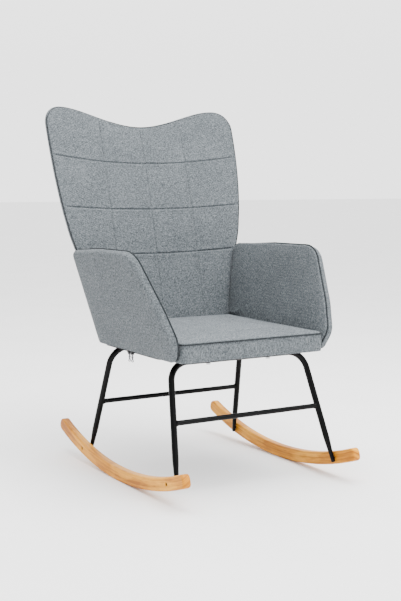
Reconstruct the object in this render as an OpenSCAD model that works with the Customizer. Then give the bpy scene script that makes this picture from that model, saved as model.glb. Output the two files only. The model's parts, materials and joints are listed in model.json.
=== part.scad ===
// Rocking chair: an upholstered wing-back shell with two flared arms and a box seat, carried by
// two bent-tube leg hoops that are bolted to the inner faces of two curved wooden rockers.
// +Z is up, the front of the chair faces -Y and the sitter's left arm is on +X.

/* [Rockers] */
// Radius of the curve that rolls on the floor
rocker_radius = 989; // [940:1:1040]
// Height of a rocker along its radius
rocker_height = 34; // [30:1:38]
// Thickness of a rocker
rocker_thick = 22; // [20:1:26]
// Width over the outer faces of both rockers
rocker_span = 524; // [510:1:540]
// Angle from the lowest point to the front end
front_angle = 19.5; // [16.5:0.1:20]
// Angle from the lowest point to the rear end
rear_angle = 20.9; // [19:0.1:23]

/* [Leg hoops] */
// Diameter of the leg tube
tube_d = 16; // [15:0.5:18]
// Wall of the leg tube
tube_wall = 1.2; // [1:0.1:1.5]
// Diameter of the swaged leg end
tip_d = 10; // [9.5:0.5:11]
// Length of the swaged taper
taper_len = 75; // [50:1:90]
// Bend radius of the tube's centre line
bend_radius = 52; // [45:1:60]
// Diameter of the stretcher tubes
stretcher_d = 13; // [12:0.5:14]
// Height of the front stretcher
front_stretcher_z = 186; // [170:1:200]
// Height of the rear stretcher
rear_stretcher_z = 174; // [160:1:200]

/* [Seat] */
// Height of the underside of the seat
seat_bottom = 334; // [334:1:336]
// Thickness of the seat box, dust cover to top
seat_thick = 51; // [48:1:54]
// Half width of the seat box
seat_half = 210; // [206:1:210]
// How far the seat reaches forward of the seat datum
seat_front = 251; // [245:1:256]

/* [Back] */
// Radius of the back's curve in plan
back_radius = 1500; // [1300:10:1800]
// Lean of the back at the seat, as a slope
back_slope = 0.19; // [0.17:0.01:0.21]
// Thickness of the padded back
back_thick = 19; // [17:0.5:24]
// Height of the wing tips
wing_top = 977; // [965:1:990]
// Height of the dip between the wings
dip_top = 925; // [910:1:940]
// Half width over the wings
wing_half = 299; // [290:1:305]

/* [Arms] */
// Outward lean of an arm, in degrees
arm_lean = 13.5; // [12:0.1:14]
// Thickness of an arm
arm_thick = 25; // [24:0.5:27]
// Distance from the centre to an arm's inner face at the top of the seat
arm_inner = 218; // [217.5:0.5:220]

/* [Zips] */
// Length of each zip under an arm
zip_len = 290; // [240:1:300]
// Length of a zip pull from its pin
pull_len = 21; // [16:0.5:23]

/* [Hidden] */

$fn = 48;
big_fn = 720;
eps = 1;
wide = 900;

// The seat datum is the middle of the leg hoops; the frame's origin lies under the middle of the
// whole chair, which is depth_shift behind the datum.
depth_shift = 17.92;
contact_y = -5;

// Rockers and their bolts
rocker_mid_r = rocker_radius - rocker_height / 2;
rocker_inner = rocker_span / 2 - rocker_thick;
front_bolt_y = -266;
rear_bolt_y = 210;
bolt_r = 2.5;
bolt_head_r = 4.25;
bolt_head_h = 5;
recess_r = 4.75;
recess_depth = 7;

// Leg hoops, each a flat U that leans about its horizontal run
run_z = seat_bottom - tube_d / 2;
front_run_y = -175;
rear_run_y = 130;
front_corner = 198.5;
rear_corner = 205;
leg_foot = rocker_inner - tip_d / 2 - 1.6;
foot_past_bolt = 11;
bend_steps = 9;
tube_sides = 24;
insert_len = 24;

// Seat stack
fabric = 2;
seat_top = seat_bottom + seat_thick;
dust_t = 1;
rail_h = 24;
rail_z = seat_bottom + dust_t;
ply_z = rail_z + rail_h;
ply_t = 12;
pad_z = ply_z + ply_t;
pad_top = seat_top - fabric;
piping_d = 4;
seat_corner_r = 12;
seat_rear = 204.4;
front_rail_back = -155;
rear_rail_front = 116;
side_rail_w = 20;
seat_bolt_x = 90;
frame_bolt_r = 3;
tee_barrel_r = 4;
tee_flange_r = 9;
tee_flange_t = 1.5;

// Back surface, as the distance behind the seat datum on the centre line
back_foot = 215;
back_bow = 0.00014;
back_bottom = 337;
back_ply = 6;
back_steps = 4;
back_sweep = 13;
arm_top_z = 577;
screw_z = 348;
screw_xs = [-150, -60, 60, 150];
screw_head_h = 3.4;
screw_len = 66;

// Arm stack, from the inner face outwards
arm_pad = 9;
arm_ply_end = 19;
arm_low = 337;
arm_side_clear = seat_half + 1.5;
arm_taper = 65;
arm_bolt_ys = [-110, 60];
arm_bolt_z = 347;
arm_bolt_head_x = 228;

// Zips
zip_x = 222;
zip_mid_y = -25;
tape_w = 16;
tape_t = 1.2;
chain_w = 4.5;
chain_t = 1.6;
slider_l = 11;
slider_w = 9;
slider_h = 4;
play = 0.3;
front_slider_y = -18;
rear_slider_y = -2;
pin_r = 0.95;
pin_play = 0.06;
ear_x = 3.4;
ear_t = 1.2;
pin_z = arm_low - tape_t - chain_t - 5;
pull_w = 7;
pull_t = 1.4;

wood = "#d9a765";
ply = "#c9a878";
foam = "#efe6c0";
cloth = "#8f979b";
cloth_dark = "#737b80";
trim = "#4a5156";
lining = "#202224";
black = "#141414";
steel = "#b9bcc0";

// ---------------------------------------------------------------- helpers

// Moves a shape from the seat datum to the frame
module seated() { translate([0, -depth_shift, 0]) children(); }

// A shape made on +X, and its mirror image
module on_side(side) { mirror([side < 0 ? 1 : 0, 0, 0]) children(); }

function bezier(p, n) = [for (i = [0 : n - 1]) let (t = i / n)
    pow(1 - t, 3) * p[0] + 3 * t * pow(1 - t, 2) * p[1] + 3 * t * t * (1 - t) * p[2]
    + pow(t, 3) * p[3]];

function unit(v) = v / norm(v);

// Points of an arc that rounds corner b of a, b, c to radius r
function fillet(a, b, c, r, n = 6) = let (
    u = unit(a - b), v = unit(c - b), half = acos(u * v) / 2,
    centre = b + unit(u + v) * r / sin(half),
    from = b + u * r / tan(half) - centre, to = b + v * r / tan(half) - centre,
    turn = 180 - 2 * half)
    [for (i = [0 : n]) centre
        + (from * sin(turn * (1 - i / n)) + to * sin(turn * i / n)) / sin(turn)];

// A closed outline from corners given as [x, y, radius]
function rounded(corners) = let (m = len(corners)) [for (i = [0 : m - 1]) let (
    a = corners[(i + m - 1) % m], b = corners[i], c = corners[(i + 1) % m])
    each fillet([a[0], a[1]], [b[0], b[1]], [c[0], c[1]], b[2])];

// The same outline moved inwards by d; the points run anticlockwise
function inset(pts, d) = let (m = len(pts)) [for (i = [0 : m - 1]) let (
    e = unit(pts[i] - pts[(i + m - 1) % m]), f = unit(pts[(i + 1) % m] - pts[i]),
    n = [-e[1], e[0]], k = [-f[1], f[0]])
    pts[i] + d * (n + k) / (1 + n * k)];

module ring(pts, width) {
    difference() {
        polygon(pts);
        polygon(inset(pts, width));
    }
}

// A plate that fills an outline in the (Y, Z) plane from x = t1 to x = t2
module plate_x(t1, t2) {
    translate([t1, 0, 0]) rotate([90, 0, 90]) linear_extrude(t2 - t1) children();
}

// A rod along +X from x1 to x2
module rod_x(x1, x2, r) { translate([x1, 0, 0]) rotate([0, 90, 0]) cylinder(h = x2 - x1, r = r); }

// ---------------------------------------------------------------- rockers

// Height above the floor of a rocker's middle line
function rocker_z(y) = rocker_radius - sqrt(pow(rocker_mid_r, 2) - pow(y - contact_y, 2));

// A rocker's side outline about the centre of its curve, with the floor towards +X
module rocker_outline() {
    far = 2 * rocker_radius;
    intersection() {
        difference() {
            circle(rocker_radius);
            circle(rocker_radius - rocker_height);
        }
        polygon([[0, 0], far * [cos(front_angle), -sin(front_angle)], [far, 0],
            far * [cos(rear_angle), sin(rear_angle)]]);
    }
    for (angle = [-front_angle, rear_angle])
        rotate([0, 0, angle]) translate([rocker_mid_r, 0]) circle(rocker_height / 2);
}

module at_rocker_bolts() {
    for (y = [front_bolt_y, rear_bolt_y]) translate([0, y, rocker_z(y)]) children();
}

module rocker(side) {
    color(wood) seated() on_side(side) difference() {
        translate([rocker_inner, contact_y, rocker_radius]) rotate([0, 90, 0])
            linear_extrude(rocker_thick) rocker_outline($fn = big_fn);
        at_rocker_bolts() {
            rod_x(rocker_inner - eps, rocker_span / 2 + eps, bolt_r + 0.2);
            rod_x(rocker_span / 2 - recess_depth, rocker_span / 2 + eps, recess_r);
        }
    }
}

module rocker_bolts() {
    head_x = rocker_span / 2 - recess_depth;
    color(steel) seated() for (side = [-1, 1]) on_side(side) at_rocker_bolts() difference() {
        union() {
            rod_x(leg_foot - 2, head_x, bolt_r);
            rod_x(head_x, head_x + bolt_head_h, bolt_head_r);
        }
        rod_x(head_x + 2, head_x + bolt_head_h + eps, 2);
    }
}

// ---------------------------------------------------------------- leg hoops

// Length of a leg line from its run to its bolt, and the lean of the hoop
function hoop_len(run_y, bolt_y) = norm([bolt_y - run_y, rocker_z(bolt_y) - run_z]);
function hoop_lean(run_y, bolt_y) = atan2(bolt_y - run_y, run_z - rocker_z(bolt_y));

// Stations along one half of a hoop in its own plane, as [x, z, normal x, normal z, radius]
function half_stations(corner, length) = let (
    splay = atan2(leg_foot - corner, length),
    start = corner - bend_radius * tan((90 - splay) / 2),
    dir = [sin(splay), -cos(splay)], out = [cos(splay), sin(splay)],
    foot = [leg_foot, -length] + foot_past_bolt * dir, taper = foot - taper_len * dir)
    concat([for (i = [0 : bend_steps]) let (a = 90 - (90 - splay) * i / bend_steps)
            [start + bend_radius * cos(a), bend_radius * (sin(a) - 1), cos(a), sin(a), tube_d / 2]],
        [[taper[0], taper[1], out[0], out[1], tube_d / 2]],
        [[foot[0], foot[1], out[0], out[1], tip_d / 2]]);

// Stations of a whole hoop from foot to foot
function hoop_stations(corner, length) = let (h = half_stations(corner, length), m = len(h))
    concat([for (i = [1 : m]) let (s = h[m - i]) [-s[0], s[1], -s[2], s[3], s[4]]], h);

// A tube through the stations: solid, or with a bore when wall is above zero
module swept_tube(stations, wall) {
    m = len(stations);
    rings = wall > 0 ? 2 * m : m;
    points = [for (k = [0 : rings - 1]) let (s = stations[k < m ? k : 2 * m - 1 - k],
        r = k < m ? s[4] : s[4] - wall) for (j = [0 : tube_sides - 1])
        let (a = 360 * j / tube_sides)
        [s[0] + r * cos(a) * s[2], r * sin(a), s[1] + r * cos(a) * s[3]]];
    last = wall > 0 ? rings - 1 : rings - 2;
    walls = [for (k = [0 : last], j = [0 : tube_sides - 1]) let (
        k2 = (k + 1) % rings, j2 = (j + 1) % tube_sides)
        [k * tube_sides + j, k * tube_sides + j2, k2 * tube_sides + j2, k2 * tube_sides + j]];
    caps = wall > 0 ? [] : [[for (j = [1 : tube_sides]) tube_sides - j],
        [for (j = [0 : tube_sides - 1]) (m - 1) * tube_sides + j]];
    polyhedron(points, concat(walls, caps));
}

module hoop_body(run_y, bolt_y, corner, wall) {
    translate([0, run_y, run_z]) rotate([hoop_lean(run_y, bolt_y), 0, 0])
        swept_tube(hoop_stations(corner, hoop_len(run_y, bolt_y)), wall);
}

module leg_hoop(run_y, bolt_y, corner) {
    color(black) seated() difference() {
        hoop_body(run_y, bolt_y, corner, tube_wall);
        for (side = [-1, 1]) on_side(side) translate([0, bolt_y, rocker_z(bolt_y)])
            rod_x(leg_foot, rocker_inner + eps, bolt_r);
        for (x = [-seat_bolt_x, seat_bolt_x]) translate([x, run_y, run_z - tube_d])
            cylinder(h = 2 * tube_d, r = frame_bolt_r + 0.2);
    }
}

module stretcher(run_y, bolt_y, corner, z) {
    length = hoop_len(run_y, bolt_y);
    drop = (run_z - z) / cos(hoop_lean(run_y, bolt_y));
    half = corner + (leg_foot - corner) * drop / length;
    y = run_y + (bolt_y - run_y) * drop / length;
    color(black) seated() difference() {
        translate([0, y, z]) rod_x(-half, half, stretcher_d / 2);
        hoop_body(run_y, bolt_y, corner, 0);
    }
}

// A steel slug inside each leg end, tapped for the rocker bolt
module leg_end_inserts() {
    flats = cos(180 / tube_sides);
    inner_tip = (tip_d / 2 - tube_wall) * flats;
    inner_top = inner_tip + (tube_d - tip_d) / 2 * insert_len / taper_len * flats;
    color(steel) seated() for (f = [[front_run_y, front_bolt_y, front_corner],
        [rear_run_y, rear_bolt_y, rear_corner]], side = [-1, 1]) {
        length = hoop_len(f[0], f[1]);
        on_side(side) difference() {
            translate([0, f[0], run_z]) rotate([hoop_lean(f[0], f[1]), 0, 0])
                translate([leg_foot, 0, -length])
                rotate([0, 180 - atan2(leg_foot - f[2], length), 0])
                translate([0, 0, foot_past_bolt - insert_len])
                cylinder(h = insert_len, r1 = inner_top, r2 = inner_tip);
            translate([0, f[1], rocker_z(f[1])]) rod_x(leg_foot - 2, rocker_inner, bolt_r);
        }
    }
}

// ---------------------------------------------------------------- seat

function seat_outline(half) = rounded([[-half, -seat_front, seat_corner_r],
    [half, -seat_front, seat_corner_r], [half, 220, 2], [-half, 220, 2]]);

// A slab of the seat's outline from z1 to z2; its rear edge follows the back's curve
module seat_slab(z1, z2, in) {
    intersection() {
        translate([0, 0, z1]) linear_extrude(z2 - z1) polygon(inset(seat_outline(seat_half), in));
        translate([0, seat_rear - back_radius, z1])
            cylinder(h = z2 - z1, r = back_radius - in, $fn = big_fn);
    }
}

module along_y(y1, y2) {
    translate([-wide / 2, y1, 0]) cube([wide, y2 - y1, wide]);
}

module side_bolt_holes(r) {
    for (y = arm_bolt_ys) translate([0, y, arm_bolt_z]) rod_x(side_rail_w, wide / 2, r);
}

module seat_bolt_holes(y, r) {
    for (x = [-seat_bolt_x, seat_bolt_x]) translate([x, y, 0]) cylinder(h = wide / 2, r = r);
}

module seat_tee_seats(y) {
    for (x = [-seat_bolt_x, seat_bolt_x]) translate([x, y, ply_z - tee_flange_t])
        cylinder(h = tee_flange_t + eps, r = tee_flange_r);
}

module seat_front_rail() {
    color(ply) seated() difference() {
        intersection() {
            seat_slab(rail_z, ply_z, fabric);
            along_y(-seat_front, front_rail_back);
        }
        seat_bolt_holes(front_run_y, tee_barrel_r);
        seat_tee_seats(front_run_y);
    }
}

module seat_rear_rail() {
    color(ply) seated() difference() {
        intersection() {
            seat_slab(rail_z, ply_z, fabric);
            along_y(rear_rail_front, seat_rear);
        }
        seat_bolt_holes(rear_run_y, tee_barrel_r);
        seat_tee_seats(rear_run_y);
        back_screw_shapes(frame_bolt_r);
    }
}

module seat_side_rail(side) {
    outer = seat_half - fabric;
    color(ply) seated() on_side(side) difference() {
        translate([outer - side_rail_w, front_rail_back, rail_z])
            cube([side_rail_w, rear_rail_front - front_rail_back, rail_h]);
        side_bolt_holes(tee_barrel_r);
    }
}

module seat_board() {
    color(ply) seated() difference() {
        seat_slab(ply_z, pad_z, fabric);
        seat_bolt_holes(front_run_y, tee_barrel_r);
        seat_bolt_holes(rear_run_y, tee_barrel_r);
    }
}

module seat_foam() { color(foam) seated() seat_slab(pad_z, pad_top, piping_d); }

module seat_top_cover() { color(cloth) seated() seat_slab(pad_top, seat_top, 0); }

module seat_band() {
    color(cloth_dark) seated() difference() {
        seat_slab(seat_bottom, pad_top - piping_d, 0);
        seat_slab(seat_bottom - eps, pad_top, fabric);
        for (side = [-1, 1]) on_side(side) side_bolt_holes(frame_bolt_r);
        back_screw_shapes(frame_bolt_r);
    }
}

module seat_piping() {
    color(trim) seated() difference() {
        seat_slab(pad_top - piping_d, pad_top, 0);
        seat_slab(pad_top - piping_d - eps, pad_top + eps, piping_d);
    }
}

module seat_dust_cover() {
    color(lining) seated() difference() {
        seat_slab(seat_bottom, rail_z, fabric);
        seat_bolt_holes(front_run_y, frame_bolt_r);
        seat_bolt_holes(rear_run_y, frame_bolt_r);
    }
}

module seat_bolts() {
    tip = ply_z - tee_flange_t;
    color(steel) seated() for (y = [front_run_y, rear_run_y], x = [-seat_bolt_x, seat_bolt_x])
        translate([x, y, 0]) {
            translate([0, 0, run_z - tube_d / 2]) cylinder(h = tip - run_z + tube_d / 2,
                r = frame_bolt_r);
            translate([0, 0, run_z - tube_d / 2 - 3.5]) cylinder(h = 3.5, r = 5.5);
        }
}

module tee_nut(barrel) {
    difference() {
        union() {
            cylinder(h = tee_flange_t, r = tee_flange_r);
            translate([0, 0, -barrel]) cylinder(h = barrel, r = tee_barrel_r);
        }
        translate([0, 0, -barrel - eps]) cylinder(h = barrel + 4 * eps, r = frame_bolt_r);
    }
}

module seat_tee_nuts() {
    color(steel) seated() for (y = [front_run_y, rear_run_y], x = [-seat_bolt_x, seat_bolt_x])
        translate([x, y, ply_z - tee_flange_t]) tee_nut(10);
}

// ---------------------------------------------------------------- back

function back_y(z) = let (h = z - seat_top)
    back_foot + back_slope * h + back_bow * h * h;

function half_back() = concat(
    [[202.5, back_bottom]],
    bezier([[250, arm_top_z - 15], [254, 586], [268, 612], [275, 655]], 5),
    bezier([[275, 655], [wing_half - 10, 720], [wing_half, 815], [wing_half, 925]], 8),
    bezier([[wing_half, 925], [wing_half, 955], [wing_half - 19, wing_top],
        [wing_half - 52, wing_top]], 6),
    bezier([[wing_half - 52, wing_top], [178, wing_top], [93, dip_top], [0, dip_top]], 8));

// The back's outline in the (X, Z) plane, anticlockwise from its lower right corner
function back_outline() = let (h = half_back(), m = len(h)) concat(h, [[0, dip_top]],
    [for (i = [1 : m]) [-h[m - i][0], h[m - i][1]]]);

// The back's curved slab between two depths behind its front surface
module back_slab(t1, t2) {
    top = wing_top + 10;
    low = back_bottom - 10;
    levels = [for (i = [0 : back_steps]) low + (top - low) * i / back_steps];
    reach = back_radius - back_foot;
    translate([0, -reach, 0]) rotate([0, 0, 90 - back_sweep]) rotate_extrude(angle = 2 * back_sweep,
        $fn = big_fn) polygon(concat([for (z = levels) [reach + back_y(z) + t1, z]],
            [for (i = [0 : back_steps]) let (z = levels[back_steps - i])
                [reach + back_y(z) + t2, z]]));
}

module back_prism() { translate([0, wide, 0]) rotate([90, 0, 0]) linear_extrude(wide) children(); }

module back_layer(t1, t2, in) {
    intersection() {
        back_slab(t1, t2);
        back_prism() polygon(inset(back_outline(), in));
    }
}

// Places a screw's parts along Y, from the underside of its head in the board of the back
module at_back_screws() {
    for (x = screw_xs) translate([x, back_y(screw_z) + back_thick - fabric - screw_head_h - 0.4
        - x * x / (2 * back_radius), screw_z]) rotate([90, 0, 0]) children();
}

// Screws that run through the foot of the back into the rear rail
module back_screw_shapes(r) { at_back_screws() cylinder(h = screw_len, r = r); }

module back_screw_pockets() {
    at_back_screws() mirror([0, 0, 1]) cylinder(h = screw_head_h + 0.4 + eps, r = 6.5);
}

// Two windows that leave a frame with a cross rail
module back_windows() {
    back_prism() {
        polygon(rounded([[-165, 385, 25], [165, 385, 25], [215, 612, 25], [-215, 612, 25]]));
        polygon(rounded([[-225, 648, 25], [225, 648, 25], [250, 890, 25], [-250, 890, 25]]));
    }
}

module back_board() {
    color(ply) seated() difference() {
        back_layer(back_thick - fabric - back_ply, back_thick - fabric, fabric);
        back_windows();
        back_screw_shapes(frame_bolt_r);
        back_screw_pockets();
    }
}

module back_foam() {
    color(foam) seated() difference() {
        back_layer(fabric, back_thick - fabric - back_ply, fabric);
        back_screw_shapes(frame_bolt_r);
    }
}

module back_front_cover() {
    color(cloth) seated() difference() {
        back_layer(0, fabric, piping_d);
        back_screw_shapes(frame_bolt_r);
    }
}

module back_rear_cover() {
    color(cloth_dark) seated() difference() {
        back_layer(fabric, back_thick, 0);
        back_layer(fabric - eps, back_thick - fabric, fabric);
    }
}

module back_piping() {
    color(trim) seated() intersection() {
        back_slab(0.5 - fabric, fabric);
        back_prism() ring(back_outline(), piping_d);
    }
}

module back_screws() {
    color(steel) seated() at_back_screws() {
        cylinder(h = screw_len, r = frame_bolt_r);
        mirror([0, 0, 1]) cylinder(h = screw_head_h, r = 5.5);
    }
}

// ---------------------------------------------------------------- arms

// An arm's outline in its own plane, as [y, distance above the seat top]
arm_outline = rounded([[185, -50, 28], [231, 207, 38], [60, 219, 300], [-131, 221, 66],
    [-222, 79, 200], [-257, 4, 44], [-231, -50, 24]]);

// Cuts the outer rear corner of an arm to a long taper
module arm_rear_taper(in) {
    rear_lean = atan2(46, 257);
    depth = arm_thick - 4;
    n = unit([arm_taper, depth]) * in;
    rotate([-rear_lean, 0, 0]) translate([-n[0], 196 - n[1], 0]) linear_extrude(wide, center = true)
        polygon([[arm_thick + depth, -2 * arm_taper], [4 - depth / 10, arm_taper / 10],
            [arm_thick + depth, arm_taper]]);
}

// A layer of an arm between depths t1 and t2 from its inner face
module arm_layer(t1, t2, in) {
    difference() {
        translate([arm_inner, 0, seat_top]) rotate([0, arm_lean, 0]) difference() {
            plate_x(t1, t2) polygon(inset(arm_outline, in));
            arm_rear_taper(in);
        }
        translate([0, -wide / 2, 0]) cube([arm_side_clear, wide, wide]);
        translate([0, -wide / 2, 0]) cube([wide, wide, arm_low + in]);
    }
}

module arm_head_pockets() {
    for (y = arm_bolt_ys) translate([0, y, arm_bolt_z])
        rod_x(arm_bolt_head_x, arm_bolt_head_x + 5, 6.5);
}

module arm_board(side) {
    color(ply) seated() on_side(side) difference() {
        arm_layer(arm_pad, arm_ply_end, fabric);
        side_bolt_holes(frame_bolt_r);
        arm_head_pockets();
    }
}

module arm_inner_foam(side) {
    color(foam) seated() on_side(side) difference() {
        arm_layer(fabric, arm_pad, fabric);
        side_bolt_holes(frame_bolt_r);
    }
}

module arm_outer_foam(side) {
    color(foam) seated() on_side(side) difference() {
        arm_layer(arm_ply_end, arm_thick - fabric, fabric);
        arm_head_pockets();
    }
}

module arm_inner_cover(side) {
    color(cloth) seated() on_side(side) arm_layer(0, fabric, piping_d);
}

module arm_outer_cover(side) {
    color(cloth_dark) seated() on_side(side) difference() {
        arm_layer(fabric, arm_thick, 0);
        arm_layer(fabric - eps, arm_thick - fabric, fabric);
    }
}

module arm_piping(side) {
    color(trim) seated() on_side(side) difference() {
        arm_layer(-1, fabric, 0);
        arm_layer(-2, fabric + eps, piping_d);
    }
}

module arm_bolts() {
    tip = seat_half - fabric - side_rail_w;
    color(steel) seated() for (side = [-1, 1]) on_side(side) for (y = arm_bolt_ys)
        translate([0, y, arm_bolt_z]) {
            rod_x(tip, arm_bolt_head_x, frame_bolt_r);
            rod_x(arm_bolt_head_x, arm_bolt_head_x + 3.4, 5.5);
        }
}

module arm_tee_nuts() {
    color(steel) seated() for (side = [-1, 1]) on_side(side) for (y = arm_bolt_ys)
        translate([seat_half - fabric - side_rail_w, y, arm_bolt_z]) rotate([0, -90, 0]) tee_nut(12);
}

// ---------------------------------------------------------------- zips

module zip(side) {
    color(lining) seated() on_side(side) translate([zip_x, zip_mid_y, 0]) {
        translate([-tape_w / 2, -zip_len / 2, arm_low - tape_t]) cube([tape_w, zip_len, tape_t]);
        translate([-chain_w / 2, -zip_len / 2, arm_low - tape_t - chain_t])
            cube([chain_w, zip_len, chain_t]);
    }
}

// A slider rides on the teeth and carries the pull's pin between two ears
module zip_slider(side, y) {
    top = arm_low - tape_t - play;
    color(black) seated() on_side(side) translate([zip_x, y, 0]) {
        difference() {
            translate([-slider_w / 2, -slider_l / 2, top - slider_h])
                cube([slider_w, slider_l, slider_h]);
            translate([-chain_w / 2 - play, -slider_l, top - chain_t])
                cube([chain_w + 2 * play, 2 * slider_l, chain_t + eps]);
        }
        for (x = [-ear_x - ear_t / 2, ear_x - ear_t / 2])
            translate([x, 0, 0]) hull_ear(top - slider_h);
        translate([0, 0, pin_z]) rod_x(-ear_x, ear_x, pin_r);
    }
}

module hull_ear(top) {
    translate([0, -1.8, pin_z]) cube([ear_t, 3.6, top - pin_z]);
    translate([0, 0, pin_z]) rod_x(0, ear_t, 1.8);
}

// A flat pull with a waist and a round hole, hanging from its eye
module zip_pull(side, y) {
    eye_half = ear_x - ear_t / 2 - play;
    color(steel) seated() on_side(side) translate([zip_x, y, pin_z]) difference() {
        union() {
            rod_x(-eye_half, eye_half, 2);
            translate([0, pull_t / 2, 0]) rotate([90, 0, 0]) linear_extrude(pull_t) {
                translate([-2, -8]) square([4, 8]);
                translate([0, -8]) circle(3);
                translate([-2, 3.5 - pull_len]) square([4, pull_len - 11.5]);
                translate([0, 3.5 - pull_len]) circle(pull_w / 2);
            }
        }
        rod_x(-ear_x, ear_x, pin_r + pin_play);
        translate([0, pull_t, 3.5 - pull_len]) rotate([90, 0, 0]) cylinder(h = 2 * pull_t, r = 1.8);
    }
}

rocker(1);  // left_rocker
rocker(-1);  // right_rocker
leg_hoop(front_run_y, front_bolt_y, front_corner);  // front_leg_hoop
leg_hoop(rear_run_y, rear_bolt_y, rear_corner);  // rear_leg_hoop
stretcher(front_run_y, front_bolt_y, front_corner, front_stretcher_z);  // front_stretcher
stretcher(rear_run_y, rear_bolt_y, rear_corner, rear_stretcher_z);  // rear_stretcher
leg_end_inserts();
rocker_bolts();
seat_front_rail();
seat_rear_rail();
seat_side_rail(1);  // seat_left_rail
seat_side_rail(-1);  // seat_right_rail
seat_board();
seat_foam();
seat_top_cover();
seat_band();
seat_piping();
seat_dust_cover();
seat_bolts();
seat_tee_nuts();
back_board();
back_foam();
back_front_cover();
back_rear_cover();
back_piping();
back_screws();
arm_board(1);  // left_arm_board
arm_inner_foam(1);  // left_arm_inner_foam
arm_outer_foam(1);  // left_arm_outer_foam
arm_inner_cover(1);  // left_arm_inner_cover
arm_outer_cover(1);  // left_arm_outer_cover
arm_piping(1);  // left_arm_piping
arm_board(-1);  // right_arm_board
arm_inner_foam(-1);  // right_arm_inner_foam
arm_outer_foam(-1);  // right_arm_outer_foam
arm_inner_cover(-1);  // right_arm_inner_cover
arm_outer_cover(-1);  // right_arm_outer_cover
arm_piping(-1);  // right_arm_piping
arm_bolts();
arm_tee_nuts();
zip(1);  // left_zip
zip(-1);  // right_zip
zip_slider(1, front_slider_y);  // left_front_slider
zip_slider(1, rear_slider_y);  // left_rear_slider
zip_slider(-1, front_slider_y);  // right_front_slider
zip_slider(-1, rear_slider_y);  // right_rear_slider
zip_pull(1, front_slider_y);  // left_front_pull
zip_pull(1, rear_slider_y);  // left_rear_pull
zip_pull(-1, front_slider_y);  // right_front_pull
zip_pull(-1, rear_slider_y);  // right_rear_pull
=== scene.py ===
"""Looks of the rocking chair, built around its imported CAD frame.

Lengths are in millimetres: x to the sitter's left, y backwards and z up from the floor, with y = 0
at the seat's datum. new_object() turns them into metres in the frame."""
import json
import math

import bmesh
import bpy
import numpy as np
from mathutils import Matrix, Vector
from mathutils.geometry import delaunay_2d_cdt


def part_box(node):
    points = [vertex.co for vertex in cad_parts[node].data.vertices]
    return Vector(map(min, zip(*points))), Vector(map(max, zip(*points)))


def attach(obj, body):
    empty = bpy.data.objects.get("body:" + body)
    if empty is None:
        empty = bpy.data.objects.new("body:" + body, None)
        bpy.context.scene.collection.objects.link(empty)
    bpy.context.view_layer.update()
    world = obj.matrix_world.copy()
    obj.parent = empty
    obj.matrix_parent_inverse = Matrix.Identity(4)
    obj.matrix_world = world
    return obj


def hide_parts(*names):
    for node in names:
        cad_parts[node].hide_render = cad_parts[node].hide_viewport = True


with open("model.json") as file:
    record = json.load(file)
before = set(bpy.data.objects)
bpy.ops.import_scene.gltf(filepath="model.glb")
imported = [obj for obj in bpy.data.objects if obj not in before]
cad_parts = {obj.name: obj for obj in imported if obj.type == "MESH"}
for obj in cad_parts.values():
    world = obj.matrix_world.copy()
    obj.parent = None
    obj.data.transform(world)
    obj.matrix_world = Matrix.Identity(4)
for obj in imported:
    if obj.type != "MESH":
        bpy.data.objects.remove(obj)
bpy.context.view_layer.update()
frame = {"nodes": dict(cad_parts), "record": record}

DEPTH_SHIFT = 17.92    # from the frame's middle back to the seat's datum
SEAT_TOP = 385.0
SEAT_HALF, SEAT_FRONT, SEAT_REAR = 210.0, 251.0, 204.4

# The back is a cylinder's side that leans and bows with height, cut to an outline with two wings.
BACK_RADIUS, BACK_FOOT, BACK_SLOPE, BACK_BOW = 1500.0, 215.0, 0.19, 0.00014
WING_TOP, DIP_TOP, WING_HALF, BACK_THICK = 977.2, 926.4, 299.3, 19.0

# The arms lean outwards from the seat. Their corners are (y, height up the arm, radius).
ARM_LEAN, ARM_INNER, ARM_THICK, ARM_LOW = math.radians(13.5), 218.0, 25.0, 337.2
ARM_CORNERS = [(185, -49, 28), (233, 207, 38), (60, 219, 300), (-131, 221, 72),
               (-222, 79, 200), (-257, 4, 44), (-231, -49, 24)]

# The back's quilting: upright seams by x, level ones by (z at the middle, rise, x where it has risen).
SEAM_XS = (-131.0, 0.0, 131.0)
SEAM_ZS = ((821.0, 23.0, 290.0), (691.0, 12.0, 276.0), (566.0, 10.0, 256.0))
SEAM_OFFSETS = (0, -1.1, 1.1, -2.4, 2.4, -4.2, 4.2, -7, 7)
STITCH, STITCH_GAP, THREAD_R = 3.4, 1.1, 0.42
CLOTH_FRAMES = 20


# ------------------------------------------------------------------ flat outlines

def bezier(p, n):
    """n points of a cubic curve, without its last one."""
    p = np.array(p, float)
    t = (np.arange(n) / n)[:, None]
    return ((1 - t) ** 3 * p[0] + 3 * t * (1 - t) ** 2 * p[1]
            + 3 * t * t * (1 - t) * p[2] + t ** 3 * p[3])


def rounded(corners, n=8):
    """A closed outline from corners given as (x, y, radius)."""
    out = []
    m = len(corners)
    for i in range(m):
        a, b, c = (np.array(corners[j % m][:2], float) for j in (i - 1, i, i + 1))
        r = corners[i][2]
        u, v = (a - b) / np.linalg.norm(a - b), (c - b) / np.linalg.norm(c - b)
        half = math.acos(float(np.clip(u @ v, -1, 1))) / 2
        centre = b + (u + v) / np.linalg.norm(u + v) * r / math.sin(half)
        start = b + u * r / math.tan(half) - centre
        end = b + v * r / math.tan(half) - centre
        turn = math.pi - 2 * half
        for k in range(n + 1):
            f = k / n
            out.append(centre + (start * math.sin(turn * (1 - f)) + end * math.sin(turn * f))
                       / math.sin(turn))
    return np.array(out)


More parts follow.
